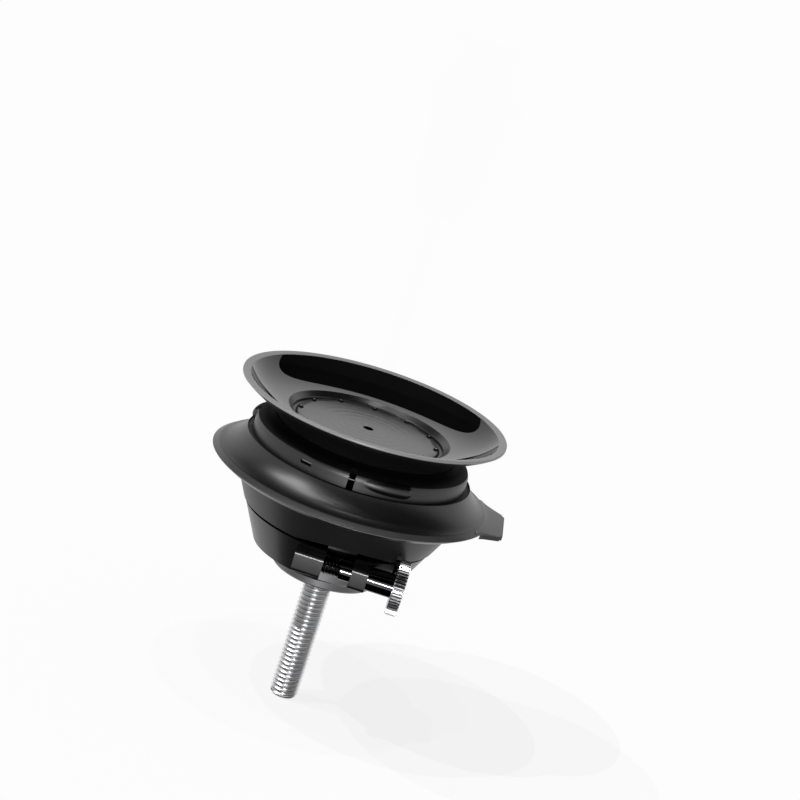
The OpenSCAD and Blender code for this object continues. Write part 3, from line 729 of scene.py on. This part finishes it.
# Studio: white floor and world, lamps, and a dark ceiling and card that only reflections show
def studio():
    scene = bpy.context.scene
    scene.view_settings.view_transform = "Standard"
    floor_z = cad_box[0].z - 0.0002
    bm = bmesh.new()
    bmesh.ops.create_circle(bm, cap_ends=True, segments=96, radius=12.0,
                            matrix=Matrix.Translation((0, 0, floor_z)))
    floor = link("floor", plain_mesh(bm, "floor"), floor_paint())

    black = flag_paint()
    for flag in (link("dark_ceiling", ceiling_mesh(), black),
                 link("dark_card", card_mesh(floor_z), black)):
        flag.visible_camera = False
        flag.visible_diffuse = False
        flag.visible_shadow = False

    world = bpy.data.worlds.new("white_room")
    scene.world = world
    world.use_nodes = True
    tree = world.node_tree
    tree.nodes.clear()
    glow = new_node(tree, "ShaderNodeBackground", inputs={
        "Color": (1, 1, 1, 1), "Strength": 0.3 + 0.7 * seen_or_mirrored(tree)})
    new_node(tree, "ShaderNodeOutputWorld", inputs={"Surface": glow}, out=None)

    # One long soft box over the left, as four lamps side by side
    for i, (energy, way) in enumerate((
            (0.7, (-0.64, -0.08, 0.76)), (1.0, (-0.55, -0.32, 0.77)),
            (0.7, (-0.38, -0.18, 0.91)), (0.2, (-0.14, -0.30, 0.94)))):
        sun("key_sun_%d" % (i + 1), energy, way)
    sun("top_sun", 0.35, (0.0, -0.1, 0.995))
    sun("front_sun", 2.4, (0.0, -0.9986, 0.052))


def seen_or_mirrored(tree):
    """1 for what the camera sees straight, in a mirror or through glass, and 0 for plain light."""
    path = new_node(tree, "ShaderNodeLightPath", out=None)
    camera, glossy, through = [Value(tree, path.outputs["Is %s Ray" % way])
                               for way in ("Camera", "Glossy", "Transmission")]
    return camera.most(glossy).most(through)


def sun(name, energy, way):
    """A lamp of parallel light that comes from the direction way."""
    data = bpy.data.lights.new(name, "SUN")
    data.energy = energy
    data.angle = 0.0
    made = bpy.data.objects.new(name, data)
    bpy.context.scene.collection.objects.link(made)
    way = Vector(way).normalized()
    made.location = way
    made.rotation_mode = "QUATERNION"
    made.rotation_quaternion = way.to_track_quat("Z", "Y")


def floor_paint():
    f = Finish("floor_white")
    matt = f.node("ShaderNodeBsdfDiffuse", inputs={"Color": (0.8, 0.8, 0.8, 1.0)})
    white = f.node("ShaderNodeEmission", inputs={"Color": (1, 1, 1, 1), "Strength": 1.0})
    whiteness = 0.82
    share = seen_or_mirrored(f.tree) * whiteness
    mixed = f.node("ShaderNodeMixShader", inputs={0: share, 1: matt, 2: white})
    f.tree.links.new(mixed.socket, f.output.inputs["Surface"])
    return f.material


def flag_paint():
    f = Finish("flag_black")
    dark = f.node("ShaderNodeEmission", inputs={"Color": (0.0, 0.0, 0.0, 1.0), "Strength": 0.0})
    f.tree.links.new(dark.socket, f.output.inputs["Surface"])
    return f.material


def card_mesh(floor_z):
    """A small black card on the floor under the front of the mount."""
    bm = bmesh.new()
    reach, height, half_fan, steps = 0.085, floor_z + 0.001, 75.0, 32
    rim = []
    for i in range(steps + 1):
        turn = math.radians(-90.0 + half_fan * (2.0 * i / steps - 1.0))
        rim.append(bm.verts.new((reach * math.cos(turn), reach * math.sin(turn), height)))
    bm.faces.new([bm.verts.new((0.0, 0.0, height))] + rim)
    return plain_mesh(bm, "dark_card")


def ceiling_mesh():
    """A dome from straight above down to an edge about 35 degrees over the horizon."""
    bm = bmesh.new()
    rings = []
    around, down, radius = 96, 16, 4.0
    for k in range(down + 1):
        ring = []
        for i in range(around):
            azimuth = 2 * math.pi * i / around
            toward_front = 0.5 - 0.5 * math.sin(azimuth)
            edge = math.radians(35.0 - 12.0 * toward_front)
            elevation = math.pi / 2 - (math.pi / 2 - edge) * (k + 0.02) / (down + 0.02)
            ring.append(bm.verts.new((radius * math.cos(elevation) * math.cos(azimuth),
                                      radius * math.cos(elevation) * math.sin(azimuth),
                                      radius * math.sin(elevation))))
        rings.append(ring)
    bm.faces.new(rings[0])
    for low, high in zip(rings, rings[1:]):
        for i in range(around):
            j = (i + 1) % around
            bm.faces.new((low[i], low[j], high[j], high[i]))
    return plain_mesh(bm, "dark_ceiling")


photo_camera()
studio()
threads = thread_tree()
suction_cup()
stem_bolt(threads)
thumbscrew(threads)
for shown in ("stem_adapter", "clamp_band", "spacer_sleeve", "bowl", "collar", "gap_seal",
              "release_ring", "ring_plate", "contact_disc"):
    dressed(shown, {"collar": 14.0, "contact_disc": 50.0}.get(shown, 28.0))
